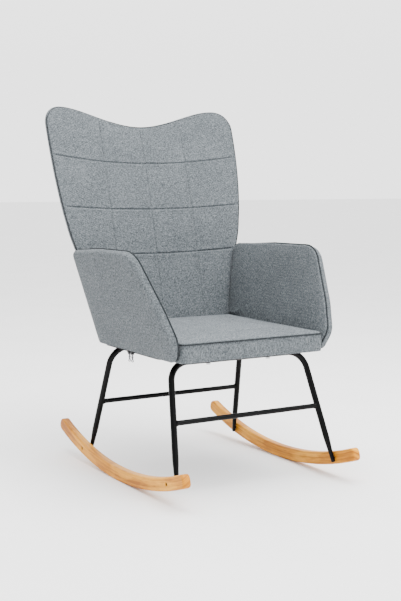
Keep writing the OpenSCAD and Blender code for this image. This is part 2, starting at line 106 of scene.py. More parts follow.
def resample(pts, step):
    """The closed outline with evenly spaced points."""
    loop = np.vstack([pts, pts[:1]])
    run = np.concatenate([[0], np.cumsum(np.linalg.norm(np.diff(loop, axis=0), axis=1))])
    n = max(8, int(round(run[-1] / step)))
    at = np.arange(n) * run[-1] / n
    return np.stack([np.interp(at, run, loop[:, k]) for k in range(loop.shape[1])], 1)


def inward(pts):
    """Inward unit normals of an anticlockwise outline."""
    t = np.roll(pts, -1, 0) - np.roll(pts, 1, 0)
    t /= np.linalg.norm(t, axis=1)[:, None]
    return np.stack([-t[:, 1], t[:, 0]], 1)


def edge_distance(p, loop):
    """Distance of each point from a closed outline."""
    a, b = loop, np.roll(loop, -1, 0)
    ab = b - a
    out = np.empty(len(p))
    for i in range(0, len(p), 4000):
        q = p[i:i + 4000, None, :] - a[None]
        t = np.clip((q * ab).sum(2) / (ab * ab).sum(1), 0, 1)
        out[i:i + 4000] = np.linalg.norm(q - t[..., None] * ab, axis=2).min(1)
    return out


def inside(p, loop):
    """Which points lie inside a closed outline."""
    a, b = loop, np.roll(loop, -1, 0)
    hit = np.zeros(len(p), int)
    for (x1, y1), (x2, y2) in zip(a, b):
        if y1 == y2:
            continue
        crosses = (y1 > p[:, 1]) != (y2 > p[:, 1])
        hit += crosses & (p[:, 0] < (x2 - x1) * (p[:, 1] - y1) / (y2 - y1) + x1)
    return hit % 2 == 1


class Panel:
    """A flat triangulated patch inside an outline.

    rings are the distances of finer rows from the edge; rows is a test for the grid points to keep
    and the points of other fine rows; holes are closed outlines cut out of it."""

    def __init__(self, outline, step, rings=(), rows=None, holes=()):
        edge = resample(outline, step)
        loops = [edge] + list(holes)
        bunch, clear = [], (rings[-1] if rings else 0) + 0.6 * step
        for d in rings:
            ring = edge + inward(edge) * d
            ring = ring[inside(ring, edge)]
            bunch.append(ring[edge_distance(ring, edge) > d - 0.2])
        low, high = edge.min(0), edge.max(0)
        gx, gy = np.meshgrid(np.arange(low[0], high[0], step), np.arange(low[1], high[1], step))
        grid = np.stack([gx.ravel(), gy.ravel()], 1)
        if rows is not None:
            near, extra = rows
            extra = extra[inside(extra, edge)]
            bunch.append(extra[edge_distance(extra, edge) > clear])
            grid = grid[near(grid)]
        grid = grid[inside(grid, edge)]
        bunch.append(grid[edge_distance(grid, edge) > clear])
        pts = np.vstack(bunch)
        for h in holes:
            pts = pts[~inside(pts, h)]
            pts = pts[edge_distance(pts, h) > 0.8]
        pts = np.vstack(loops + [pts])
        links, at = [], 0
        for loop in loops:
            m = len(loop)
            links += [(at + i, at + (i + 1) % m) for i in range(m)]
            at += m
        made = delaunay_2d_cdt([Vector(p) for p in pts], links, [], 1, 1e-3)
        self.pts = np.array([tuple(v) for v in made[0]])
        self.faces = [tuple(f) for f in made[2]]
        where = {}
        for new, old in enumerate(made[3]):
            for o in old:
                where[o] = new
        self.loops, at = [], 0
        for loop in loops:
            self.loops.append([where[at + i] for i in range(len(loop))])
            at += len(loop)
        for h in holes:
            middle = np.array([self.pts[list(f)].mean(0) for f in self.faces])
            gone = inside(middle, h)
            self.faces = [f for f, g in zip(self.faces, gone) if not g]
        self.edge = edge
        self.dist = edge_distance(self.pts, edge)
        for h in holes:
            self.dist = np.minimum(self.dist, edge_distance(self.pts, h) + 1.5)


# ------------------------------------------------------------------ meshes

def new_object(name, verts, faces):
    """A smooth mesh object on the chair's body, from millimetre points about the seat datum."""
    v = np.array(verts, float) / 1000
    v[:, 1] -= DEPTH_SHIFT / 1000
    me = bpy.data.meshes.new(name)
    me.from_pydata([tuple(p) for p in v], [], faces)
    me.validate()
    me.update()
    ob = bpy.data.objects.new(name, me)
    bpy.context.scene.collection.objects.link(ob)
    me.polygons.foreach_set("use_smooth", [True] * len(me.polygons))
    me.update()
    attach(ob, "chair")
    return ob


def outward(ob):
    """Turns a closed mesh's faces to point outwards."""
    bm = bmesh.new()
    bm.from_mesh(ob.data)
    bmesh.ops.recalc_face_normals(bm, faces=bm.faces)
    bm.to_mesh(ob.data)
    bm.free()
    ob.data.update()
    return ob


def both_sides(panel):
    """The faces of a panel's top and of its bottom, whose points follow the top's."""
    n = len(panel.pts)
    return list(panel.faces) + [tuple(i + n for i in f[::-1]) for f in panel.faces]


def wall_faces(above, below):
    """Quads between two closed rows of points."""
    m = len(above)
    return [(above[i], below[i], below[(i + 1) % m], above[(i + 1) % m]) for i in range(m)]


def pad_mesh(panel, top, bottom, place, wall=4, bulge=0.0):
    """A closed pad: a top and a bottom over one panel, joined by walls that bulge a little."""
    n = len(panel.pts)
    up, down = top(panel.pts, panel.dist), bottom(panel.pts, panel.dist)
    verts = [place(panel.pts, up), place(panel.pts, down)]
    faces = both_sides(panel)
    at = 2 * n
    for loop in panel.loops:
        m = len(loop)
        p = panel.pts[loop]
        out = -inward(p)
        prev = list(loop)
        for k in range(1, wall + 1):
            if k == wall:
                cur = [i + n for i in loop]
            else:
                f = k / wall
                side = p + out * bulge * math.sin(math.pi * f)
                verts.append(place(side, up[loop] * (1 - f) + down[loop] * f))
                cur = list(range(at, at + m))
                at += m
            faces += wall_faces(prev, cur)
            prev = cur
    return np.vstack(verts), faces


def frames_along(path, closed):
    """Two unit normals at each point of a path that turn as little as they can."""
    n = len(path)
    if closed:
        t = np.roll(path, -1, 0) - np.roll(path, 1, 0)
    else:
        t = np.gradient(path, axis=0)
    t /= np.linalg.norm(t, axis=1)[:, None]
    a = np.zeros_like(path)
    first = np.cross(t[0], (0, 0, 1) if abs(t[0][2]) < 0.9 else (1, 0, 0))
    a[0] = first / np.linalg.norm(first)
    for i in range(1, n):
        v = a[i - 1] - t[i] * (a[i - 1] @ t[i])
        a[i] = v / np.linalg.norm(v)
    if closed:
        end = a[-1] - t[0] * (a[-1] @ t[0])
        end /= np.linalg.norm(end)
        twist = math.atan2(np.cross(end, a[0]) @ t[0], end @ a[0])
        for i in range(n):
            w = twist * i / n
            b = np.cross(t[i], a[i])
            a[i] = a[i] * math.cos(w) + b * math.sin(w)
    return a, np.cross(t, a)


def tube(path, radius, sides=12, closed=False):
    """Points and faces of a round tube along a path; radius is a number or one for each point."""
    path = np.array(path, float)
    r = np.broadcast_to(np.array(radius, float), (len(path),))
    a, b = frames_along(path, closed)
    ang = np.arange(sides) * 2 * math.pi / sides
    rings = path[:, None] + r[:, None, None] * (a[:, None] * np.cos(ang)[None, :, None]
                                                + b[:, None] * np.sin(ang)[None, :, None])
    n = len(path)
    faces = []
    for i in range(n if closed else n - 1):
        j = (i + 1) % n
        for k in range(sides):
            l = (k + 1) % sides
            faces.append((i * sides + k, i * sides + l, j * sides + l, j * sides + k))
    if not closed:
        faces.append(tuple(range(sides))[::-1])
        faces.append(tuple((n - 1) * sides + k for k in range(sides)))
    return rings.reshape(-1, 3), faces


def join(parts):
    """One list of points and faces from several."""
    verts, faces, at = [], [], 0
    for v, f in parts:
        verts.append(np.array(v, float))
        faces += [tuple(i + at for i in face) for face in f]
        at += len(v)
    return np.vstack(verts), faces


def stitches(path):
    """Short rounded threads laid end to end along a path."""
    path = np.array(path, float)
    run = np.concatenate([[0], np.cumsum(np.linalg.norm(np.diff(path, axis=0), axis=1))])
    parts, s = [], STITCH_GAP
    while s + STITCH < run[-1]:
        at = s + np.array([0, 0.12, 0.5, 0.88, 1]) * STITCH
        p = np.stack([np.interp(at, run, path[:, k]) for k in range(3)], 1)
        parts.append(tube(p, THREAD_R * np.array([0.35, 0.85, 1, 0.85, 0.35]), 6))
        s += STITCH + STITCH_GAP
    return join(parts)


def inflate(verts, faces, held, pressure, cap, flip=False):
    """Cloth blown out between its held points; each point's travel is capped."""
    me = bpy.data.meshes.new("cloth_try")
    me.from_pydata([tuple(p) for p in np.array(verts) / 1000], [],
                   [f[::-1] for f in faces] if flip else faces)
    ob = bpy.data.objects.new("cloth_try", me)
    scene = bpy.context.scene
    scene.collection.objects.link(ob)
    group = ob.vertex_groups.new(name="held")
    for i, w in enumerate(held):
        if w > 0:
            group.add([i], float(w), "REPLACE")
    mod = ob.modifiers.new("Cloth", "CLOTH")
    st = mod.settings
    st.vertex_group_mass = "held"
    st.quality = 5
    st.mass = 0.25
    st.tension_stiffness = 12
    st.compression_stiffness = 6
    st.shear_stiffness = 4
    st.bending_stiffness = 0.4
    st.use_pressure = True
    st.uniform_pressure_force = pressure
    st.effector_weights.gravity = 0
    mod.point_cache.frame_start = 1
    mod.point_cache.frame_end = CLOTH_FRAMES
    for f in range(1, CLOTH_FRAMES + 1):
        scene.frame_set(f)
    deps = bpy.context.evaluated_depsgraph_get()
    done = ob.evaluated_get(deps).to_mesh()
    out = np.empty(len(done.vertices) * 3)
    done.vertices.foreach_get("co", out)
    out = out.reshape(-1, 3) * 1000
    bpy.data.objects.remove(ob)
    scene.frame_set(1)
    move = out - verts
    size = np.linalg.norm(move, axis=1)[:, None] + 1e-9
    return verts + move / size * cap * np.tanh(size / cap)


# ------------------------------------------------------------------ surfaces of the chair

def smoothstep(x):
    x = np.clip(x, 0, 1)
    return x * x * (3 - 2 * x)


def quarter(x):
    """A quarter circle's height: 0 at x = 0 and 1 from x = 1 on."""
    return np.sqrt(1 - (1 - np.minimum(x, 1)) ** 2)


def ripple(p, k, seed):
    """Gentle waves, the same on every run."""
    a = np.sin(p[:, 0] * k + seed) * np.cos(p[:, 1] * k * 0.83 + 1.7 * seed)
    b = np.sin(p[:, 0] * k * 1.9 - p[:, 1] * k * 1.3 + 2.3 * seed)
    return 0.6 * a + 0.4 * b


def back_y(x, z, t=0.0):
    """Depth of the back's curved face, or of a surface t behind it."""
    h = z - SEAT_TOP
    reach = BACK_RADIUS - BACK_FOOT
    at = reach + BACK_FOOT + BACK_SLOPE * h + BACK_BOW * h * h + t
    return np.sqrt(at * at - x * x) - reach


def place_back(p, t):
    """Sets points (x, z) on the surface t behind the back's curved face."""
    x, z = p[:, 0], p[:, 1]
    return np.stack([x, back_y(x, z, t), z], 1)


def seam_z(i, x):
    """Height of a level quilting seam."""
    z, rise, at = SEAM_ZS[i]
    return z + rise * (x / at) ** 2


def seam_distance(p):
    """Distance from the nearest quilting seam, and how far along it."""
    best = np.full(len(p), 1e9)
    along = np.zeros(len(p))
    for x in SEAM_XS:
        d = np.abs(p[:, 0] - x)
        along = np.where(d < best, p[:, 1], along)
        best = np.minimum(best, d)
    for i in range(len(SEAM_ZS)):
        d = np.abs(p[:, 1] - seam_z(i, p[:, 0]))
        along = np.where(d < best, p[:, 0], along)
        best = np.minimum(best, d)
    return best, along


def back_outline():
    """The back from in front, as (x, z): straight lower sides, flared wings and the dip between."""
    w, top = WING_HALF, WING_TOP
    half = np.vstack([
        [[203.0, 336.6]],
        bezier([[251.2, 561.4], [255.4, 585.2], [269.3, 611.4], [275.7, 655]], 12),
        bezier([[275.7, 655], [w - 10, 720], [w, 815], [w, 925]], 24),
        bezier([[w, 925], [w, 955], [w - 19, top], [w - 52, top]], 14),
        bezier([[w - 52, top], [178, top], [93, DIP_TOP], [0, DIP_TOP]], 24)])
    other = half[::-1].copy()
    other[:, 0] *= -1
    return np.vstack([half, [[0, DIP_TOP]], other])


def arm_rear(s):
    """Depth of an arm's rear edge at a height up the arm."""
    return 187 + 46 * (s + 45) / 252


def place_arm(side):
    """Sets points (y, height up the arm) at t out from the arm's inner face, kept clear of the
    seat's side and the back and above the level lower edge."""
    def place(p, t):
        y, s = p[:, 0], p[:, 1]
        x = ARM_INNER + t * math.cos(ARM_LEAN) + s * math.sin(ARM_LEAN)
        z = SEAT_TOP - t * math.sin(ARM_LEAN) + s * math.cos(ARM_LEAN)
        corner = np.clip((t - 18.5) / 6.5, 0, 1)
        low = ARM_LOW + 6 * (1 - np.sqrt(1 - corner ** 2))
        x = x + np.maximum(low - z, 0) * math.tan(ARM_LEAN)
        z = np.maximum(z, low)
        seat_side = 211.5 - 9 * smoothstep((z - 384) / 8) * smoothstep((y - 140) / 40)
        x = np.maximum(x, seat_side)
        y = np.minimum(y, back_y(x, z) - 0.5)
        return np.stack([side * x, y, z], 1)

    return place


def arm_bulge(p):
    """How far the inner pad swells inwards beside the back, rounded off where it meets the back."""
    y, s = p[:, 0], p[:, 1]
    rise = smoothstep((y - 40) / 150) ** 1.3
    base = np.interp(s, [-45, 0, 70, 120, 165, 200], [4.0, 8.0, 11.5, 13.0, 13.5, 14.5])
    extra = np.interp(s, [-45, 0, 70, 120, 165, 215], [0.5, 2.0, 5.5, 6.5, 5.0, 1.0])
    x = ARM_INNER + s * math.sin(ARM_LEAN)
    room = np.clip((back_y(x, SEAT_TOP + s * math.cos(ARM_LEAN)) - y) / 12, 0, 1)
    return rise * (base + extra * quarter(room))


def seat_outline():
    """The seat from above: rounded front corners, and a rear edge curved with the back."""
    front = rounded([(-SEAT_HALF, -SEAT_FRONT, 12), (SEAT_HALF, -SEAT_FRONT, 12),
                     (SEAT_HALF, 150, 1), (-SEAT_HALF, 150, 1)])
    front = front[front[:, 1] < 100]
    xs = np.linspace(SEAT_HALF, -SEAT_HALF, 40)
    rear = np.stack([xs, SEAT_REAR - xs ** 2 / (2 * BACK_RADIUS)], 1)
    left, right = front[front[:, 0] > 0], front[front[:, 0] < 0]
    right = right[np.argsort(right[:, 1])[::-1]]
    left = left[np.argsort(left[:, 1])]
    return np.vstack([right, left, rear])


# ------------------------------------------------------------------ materials

class Nodes:
    """A short way to write a material's nodes."""

    def __init__(self, name):
        self.mat = bpy.data.materials.new(name)
        self.mat.use_nodes = True
        self.tree = self.mat.node_tree
        self.shader = self.tree.nodes["Principled BSDF"]
        self.coords = self.tree.nodes.new("ShaderNodeTexCoord").outputs["Object"]

    def node(self, kind, **values):
        n = self.tree.nodes.new(kind)
        for key, value in values.items():
            if hasattr(n, key) and key not in n.inputs:
                setattr(n, key, value)
            else:
                self.put(n.inputs[key], value)
        return n

    def put(self, socket, value):
        if isinstance(value, bpy.types.NodeSocket):
            self.tree.links.new(value, socket)
        else:
            socket.default_value = value

    def math(self, op, a, b=0.0):
        n = self.tree.nodes.new("ShaderNodeMath")
        n.operation = op
        self.put(n.inputs[0], a)
        self.put(n.inputs[1], b)
        return n.outputs[0]

    def scaled(self, by):
        n = self.tree.nodes.new("ShaderNodeMapping")
        self.put(n.inputs["Vector"], self.coords)
        n.inputs["Scale"].default_value = by
        return n.outputs[0]

    def noise(self, scale, detail=3.0, rough=0.55):
        n = self.tree.nodes.new("ShaderNodeTexNoise")
        self.put(n.inputs["Vector"], self.scaled(scale))
        n.inputs["Scale"].default_value = 1.0
        n.inputs["Detail"].default_value = detail
        n.inputs["Roughness"].default_value = rough
        return n.outputs[0]

    def ramp(self, value, stops):
        n = self.tree.nodes.new("ShaderNodeValToRGB")
        self.put(n.inputs[0], value)
        e = n.color_ramp.elements
        while len(e) < len(stops):
            e.new(0.5)
        for el, (pos, col) in zip(e, stops):
            el.position = pos
            el.color = (*col, 1)
        return n.outputs[0]

    def grey(self, value, low, high):
        n = self.tree.nodes.new("ShaderNodeMapRange")
        self.put(n.inputs["Value"], value)
        n.inputs["To Min"].default_value = low
        n.inputs["To Max"].default_value = high
        return n.outputs[0]

    def mix(self, f, a, b):
        n = self.tree.nodes.new("ShaderNodeMix")
        n.data_type = "RGBA"
        self.put(n.inputs["Factor"], f)
        for s, v in ((n.inputs[6], a), (n.inputs[7], b)):
            self.put(s, v if isinstance(v, bpy.types.NodeSocket) else (*v, 1))
        return n.outputs[2]

    def bump(self, height, depth, strength=1.0):
        n = self.tree.nodes.new("ShaderNodeBump")
        self.put(n.inputs["Height"], height)
        n.inputs["Distance"].default_value = depth
        n.inputs["Strength"].default_value = strength
        self.put(self.shader.inputs["Normal"], n.outputs[0])

    def finish(self, colour, rough, **more):
        self.put(self.shader.inputs["Base Color"], colour)
        self.put(self.shader.inputs["Roughness"], rough)
        for key, value in more.items():
            self.put(self.shader.inputs[key.replace("_", " ")], value)
        return self.mat


def shade(colour, by):
    return tuple(c * by for c in colour)


def weave(m, pitch):
    """A lattice of raised threads that reads the same on every side of a piece."""
    k = 2 * math.pi / pitch
    split = m.node("ShaderNodeSeparateXYZ", Vector=m.coords)
    waves = [m.math("SINE", m.math("MULTIPLY", split.outputs[i], k)) for i in range(3)]
    return m.math("ADD", m.math("ADD", waves[0], waves[1]), waves[2])


def cloth_material(name, dark, mid, light, pitch=0.0017, flat=False):
    """Heathered cloth; its threads run up and across, or along and across where it lies flat."""
    def add(a, b, share):
        return m.math("ADD", a, m.math("MULTIPLY", b, share))

    m = Nodes(name)
    fine = m.noise((800, 800, 800), 2.0, 0.6)
    upright = m.noise((620, 150, 620) if flat else (620, 620, 145), 2.0, 0.55)
    level = m.noise((150, 620, 620) if flat else (155, 155, 700), 2.0, 0.55)
    broad = m.noise((9, 9, 9), 3.0, 0.5)
    threads = weave(m, pitch)
    flecks = add(m.math("MULTIPLY", upright, 0.42), level, 0.30)
    flecks = add(flecks, fine, 0.28)
    flecks = add(flecks, m.math("SUBTRACT", broad, 0.5), 0.05)
    flecks = add(flecks, threads, 0.006)
    colour = m.ramp(flecks, [(0.405, dark), (0.50, mid), (0.61, light)])
    height = add(m.math("MULTIPLY", threads, 0.22), fine, 0.8)
    m.bump(height, 0.0005, 0.75)
    return m.finish(colour, m.grey(fine, 0.82, 0.97), Sheen_Weight=0.04, Sheen_Roughness=0.5,
                    Specular_IOR_Level=0.12)


def wood_material(name, dark, mid, light, rough=0.42, coat=0.03, along=None):
    """Wood with its grain along x, or along the first axis of the named UV layer."""
    m = Nodes(name)
    if along:
        m.coords = m.node("ShaderNodeUVMap", uv_map=along).outputs[0]
    grain = m.noise((4.5, 150, 60), 4.0, 0.6)
    pores = m.noise((38, 1300, 700), 2.0, 0.6)
    broad = m.noise((7, 26, 9), 3.0, 0.5)
    figure = m.math("ADD", m.math("MULTIPLY", broad, 34.0), m.math("MULTIPLY", grain, 3.0))
    figure = m.math("SINE", figure)
    tone = m.math("ADD", m.math("MULTIPLY", grain, 0.5), m.math("MULTIPLY", broad, 0.5))
    tone = m.math("ADD", tone, m.math("MULTIPLY", figure, 0.028))
    colour = m.ramp(tone, [(0.40, dark), (0.50, mid), (0.62, light)])
    spots = m.math("GREATER_THAN", pores, 0.62)
    colour = m.mix(m.math("MULTIPLY", spots, 0.3), colour, shade(dark, 0.5))
    m.bump(m.math("ADD", grain, m.math("MULTIPLY", pores, 0.6)), 0.0002, 0.35)
    return m.finish(colour, m.grey(grain, rough - 0.06, rough + 0.1), Coat_Weight=coat,
                    Coat_Roughness=0.3, Specular_IOR_Level=0.12)


def paint_material(name, colour, rough, metallic=0.0):
    m = Nodes(name)
    peel = m.noise((900, 900, 900), 2.0, 0.5)
    smudge = m.noise((22, 22, 22), 4.0, 0.55)
    base = m.ramp(smudge, [(0.3, shade(colour, 0.8)), (0.7, shade(colour, 1.25))])
    m.bump(peel, 0.00012, 0.3)
    return m.finish(base, m.grey(smudge, rough - 0.05, rough + 0.1), Metallic=metallic,
                    Specular_IOR_Level=0.1)


def steel_material(name, colour, rough):
    m = Nodes(name)
    brushed = m.noise((1400, 120, 1400), 2.0, 0.6)
    stain = m.noise((60, 60, 60), 3.0, 0.5)
    base = m.ramp(stain, [(0.3, shade(colour, 0.78)), (0.75, colour)])
    m.bump(brushed, 0.00005, 0.4)
    return m.finish(base, m.grey(brushed, rough - 0.06, rough + 0.12), Metallic=1.0)


def foam_material(name):
    m = Nodes(name)
    cells = m.node("ShaderNodeTexVoronoi", Vector=m.scaled((700, 700, 700)))
    colour = m.ramp(cells.outputs["Distance"],
                    [(0.1, (0.55, 0.48, 0.28)), (0.6, (0.85, 0.78, 0.55))])
    m.bump(cells.outputs["Distance"], 0.0006, 0.8)
    return m.finish(colour, 0.95)


HEATHER = ((0.040, 0.047, 0.052), (0.096, 0.109, 0.118), (0.205, 0.224, 0.238))
GREY = cloth_material("grey_cloth", *HEATHER)
# The seat's cloth: the same heathered grey with its threads laid flat, made 1.1 times lighter as
# painted light, standing for the light falling on its top from above.
GREY_FLAT_PAINTED_LIGHT = cloth_material("grey_cloth_flat_painted_light", *(shade(c, 1.1) for c in HEATHER), flat=True)
PIPING = cloth_material("piping_cloth", (0.007, 0.009, 0.010), (0.021, 0.025, 0.028),
                        (0.05, 0.057, 0.062))
BACK_PIPING = cloth_material("back_piping_cloth", (0.008, 0.010, 0.011), (0.025, 0.029, 0.032),
                             (0.058, 0.065, 0.07))
LINING = cloth_material("lining_cloth", (0.008, 0.008, 0.009), (0.018, 0.018, 0.02),
                        (0.04, 0.04, 0.043), 0.0012)
THREAD = cloth_material("seam_thread", (0.012, 0.014, 0.016), (0.034, 0.039, 0.043),
                        (0.075, 0.084, 0.09), 0.0008)
ZIP_TAPE = cloth_material("zip_tape", (0.01, 0.01, 0.012), (0.022, 0.023, 0.026),
                          (0.05, 0.052, 0.056), 0.0009)
BEECH = wood_material("rocker_wood", (0.36, 0.115, 0.006), (0.62, 0.245, 0.014),
                      (0.80, 0.37, 0.034), along="Grain")
PLY = wood_material("plywood", (0.42, 0.27, 0.14), (0.58, 0.41, 0.23), (0.70, 0.53, 0.33), 0.7, 0.0)
BLACK = paint_material("black_powder_coat", (0.0014, 0.0014, 0.0016), 0.3)
ENAMEL = paint_material("black_enamel", (0.012, 0.012, 0.013), 0.28, 0.3)
ZIP_TEETH = paint_material("zip_teeth", (0.02, 0.02, 0.022), 0.3)
ZINC = steel_material("zinc_plate", (0.62, 0.63, 0.65), 0.34)
NICKEL = steel_material("nickel_plate", (0.17, 0.17, 0.18), 0.3)
FOAM = foam_material("foam")

# What each material slot of the record looks like on a CAD node.
SLOT_MATERIAL = {"zinc_steel": ZINC, "birch_plywood": PLY, "upholstery_foam": FOAM,
                 "zip_black_metal": ENAMEL, "zip_pull_metal": NICKEL, "black_steel": BLACK,
                 "rocker_beech": BEECH, "grey_fabric": GREY, "charcoal_piping": PIPING,
                 "black_lining": LINING, "zip_tape": ZIP_TAPE}


def dress(ob, *mats):
    ob.data.materials.clear()
    for m in mats:
        ob.data.materials.append(m)
    return ob


def paint_node(node, mat):
    for s in frame["nodes"][node].material_slots:
        s.link = "OBJECT"
        s.material = mat


# ------------------------------------------------------------------ back

def seam_rows():
    """Points in close rows along the quilting seams, and a test for the grid points they leave."""
    xs, zs = np.arange(-297, 298, 3.6), np.arange(340, 980, 3.6)
    upright = np.array([(x + o, z) for x in SEAM_XS for z in zs for o in SEAM_OFFSETS])
    near = [np.abs(upright[:, 1] - seam_z(i, upright[:, 0])) for i in range(len(SEAM_ZS))]
    upright = upright[np.min(near, 0) >= 9.5]
    level = [(x, seam_z(i, x) + o) for i in range(len(SEAM_ZS)) for x in xs for o in SEAM_OFFSETS]
    return (lambda g: seam_distance(g)[0] > 10), np.vstack([upright, level])


back_edge = back_outline()
back_loop = resample(back_edge, 4)
cushion_panel = Panel(back_loop + inward(back_loop), 5.0, (1.2, 2.8, 4.8, 7.2, 10), seam_rows())


def cushion_front(p, d):
    """Depth of the quilted face: rounded edge, crowned squares, sewn grooves and their puckers."""
    seam, along = seam_distance(p)
    upright = np.min([np.abs(p[:, 0] - x) for x in SEAM_XS], 0)
    level = np.min([np.abs(p[:, 1] - seam_z(i, p[:, 0])) for i in range(len(SEAM_ZS))], 0)
    t = 3.6 * (1 - quarter(d / 8))
    t -= 3.4 * (1 - np.exp(-np.minimum(seam, d) / 17)) * smoothstep(d / 12)
    groove = np.maximum(2.6 * np.exp(-(upright / 3.2) ** 2), 3.3 * np.exp(-(level / 2.3) ** 2))
    t += groove * smoothstep(d / 6)
    pucker = np.sin(along * 0.72 + 2 * np.sin(along * 0.11)) * np.exp(-seam / 6) * (seam > 0.6)
    return t + 0.32 * pucker + 0.5 * ripple(p, 0.021, 1.3)


def build_back():
    """The back's quilted cushion with its thread, the upholstery behind it and the piping."""
    verts, faces = pad_mesh(cushion_panel, cushion_front, lambda p, d: np.full(len(p), 10.4),
                            place_back, 3, 0.3)
    n = len(cushion_panel.pts)
    seam = seam_distance(cushion_panel.pts)[0]
    held = np.clip(np.maximum(1.6 - seam / 2.2, 1.4 - cushion_panel.dist / 3), 0, 1)
    verts[:n] = inflate(verts[:n], cushion_panel.faces, held, 3.0, 2.6, flip=True)
    ob = outward(dress(new_object("back_cushion", verts, faces), GREY))
    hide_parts("back_front_cover", "back_foam")

    panel = Panel(back_edge, 6.0, (0.6, 1.6, 3.2, 5, 7, 10))

    def rear(p, d):
        return (BACK_THICK - 5 * (1 - quarter(d / 5)) + 1.2 * smoothstep(d / 60)
                + 0.4 * ripple(p, 0.016, 4.1))

    def under_cushion(p, d):
        return 2.2 + 8.4 * smoothstep((d - 2) / 3)

    verts, faces = pad_mesh(panel, rear, under_cushion, place_back, 4, 0.9)
    ob = outward(dress(new_object("back_rear_upholstery", verts, faces), GREY))
    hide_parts("back_rear_cover")

    loop = resample(back_edge, 5)
    sunk = 0.2 + 2.2 * smoothstep((loop[:, 1] - 935) / 25) + 1.0 * (np.abs(loop[:, 0]) < 180)
    loop = loop + inward(loop) * sunk[:, None]
    path = place_back(loop, np.full(len(loop), 3.4))
    ob = dress(new_object("back_piping_cord", *tube(path, 1.8, 12, closed=True)), BACK_PIPING)
    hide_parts("back_piping")

    zs, xs = np.arange(352, 972, 4.0), np.arange(-296, 297, 4.0)
    seams = [np.stack([np.full(len(zs), x), zs], 1) for x in SEAM_XS]
    seams += [np.stack([xs, seam_z(i, xs)], 1) for i in range(len(SEAM_ZS))]
    parts = []
    for p in seams:
        p = p[inside(p, cushion_panel.edge)]
        d = edge_distance(p, cushion_panel.edge)
        p, d = p[d > 3], d[d > 3]
        parts.append(stitches(place_back(p, cushion_front(p, d) + 0.15)))
    ob = dress(new_object("back_quilting_thread", *join(parts)), THREAD)


# ------------------------------------------------------------------ seat

LINING_Z = 333.9
# A staple's wire as (distance along, height over the lining).
STAPLE = ((-4.5, 0.7), (-4.5, 0), (-3.6, -0.25), (3.6, -0.25), (4.5, 0), (4.5, 0.7))


def place_seat(p, h):
    return np.stack([p[:, 0], p[:, 1], h], 1)


def build_seat():
    """The seat's cushion, its band and piping, and the lining stapled underneath."""
    edge = seat_outline()
    loop = resample(edge, 4)
    panel = Panel(loop + inward(loop) * 1.6, 6.0, (0.7, 1.8, 3.4, 5.6, 8.4, 12))

    def top(p, d):
        z = 380.4 + 5.2 * quarter(d / 13)
        crown = 6.8 * (1 - np.exp(-d / 50))
        dip = 1.6 * np.exp(-((p[:, 0] / 120) ** 2 + ((p[:, 1] + 10) / 120) ** 2))
        return z + crown - dip + 0.45 * ripple(p, 0.027, 0.4)

    verts, faces = pad_mesh(panel, top, lambda p, d: np.full(len(p), 371.5), place_seat, 3, 0.4)
    n = len(panel.pts)
    held = np.clip(1.5 - panel.dist / 4, 0, 1)
    verts[:n] = inflate(verts[:n], panel.faces, held, 1.2, 2.2)
    # The seat cushion wears the lightened copy of the cloth, painted light for its top facing the
    # overhead light.
    ob = outward(dress(new_object("seat_cushion", verts, faces), GREY_FLAT_PAINTED_LIGHT))
    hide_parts("seat_top_cover", "seat_foam")

    band = Panel(edge, 8.0, (0.5, 1.2, 2.4, 5, 9))

    def band_top(p, d):
        return 378.6 + 0.9 * quarter(d / 2.5)

    def band_low(p, d):
        return 336.9 - 2.6 * quarter(d / 2.4) + smoothstep((d - 9) / 5)

    def place_band(p, h):
        """The band swells a little between its seams, at the front only."""
        swell = 1.4 * np.sin(np.pi * np.clip((h - 339) / 39, 0, 1))
        swell *= smoothstep((-200 - p[:, 1]) / 45) * (1 + 0.25 * np.sin(p[:, 0] * 0.045))
        return np.stack([p[:, 0], p[:, 1] - swell, h], 1)

    verts, faces = pad_mesh(band, band_top, band_low, place_band, 10, 0.0)
    ob = outward(dress(new_object("seat_front_band", verts, faces), GREY))
    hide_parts("seat_band")

    cord = loop - inward(loop) * 0.1
    path = np.stack([cord[:, 0], cord[:, 1], np.full(len(cord), 380.2)], 1)
    ob = dress(new_object("seat_piping_cord", *tube(path, 2.1, 12, closed=True)), PIPING)
    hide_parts("seat_piping")

    low = Panel(loop + inward(loop) * 4.0, 9.0, (1, 3, 6))

    def sag(p, d):
        return LINING_Z - 0.5 * smoothstep(d / 60) - 0.18 * ripple(p, 0.05, 2.2)

    verts, faces = pad_mesh(low, lambda p, d: sag(p, d) + 0.45, sag, place_seat, 2, 0.0)
    lining = outward(dress(new_object("under_seat_lining", verts, faces), LINING))
    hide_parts("seat_dust_cover")
    ring = resample(loop + inward(loop) * 9.0, 32)
    parts = []
    for p, n_in in zip(ring, inward(ring)):
        along = np.array([-n_in[1], n_in[0]])
        path = [(*(p + along * at), LINING_Z + up) for at, up in STAPLE]
        parts.append(tube(path, 0.35, 6))
    ob = dress(new_object("lining_staples", *join(parts)), ZINC)


# ------------------------------------------------------------------ arms

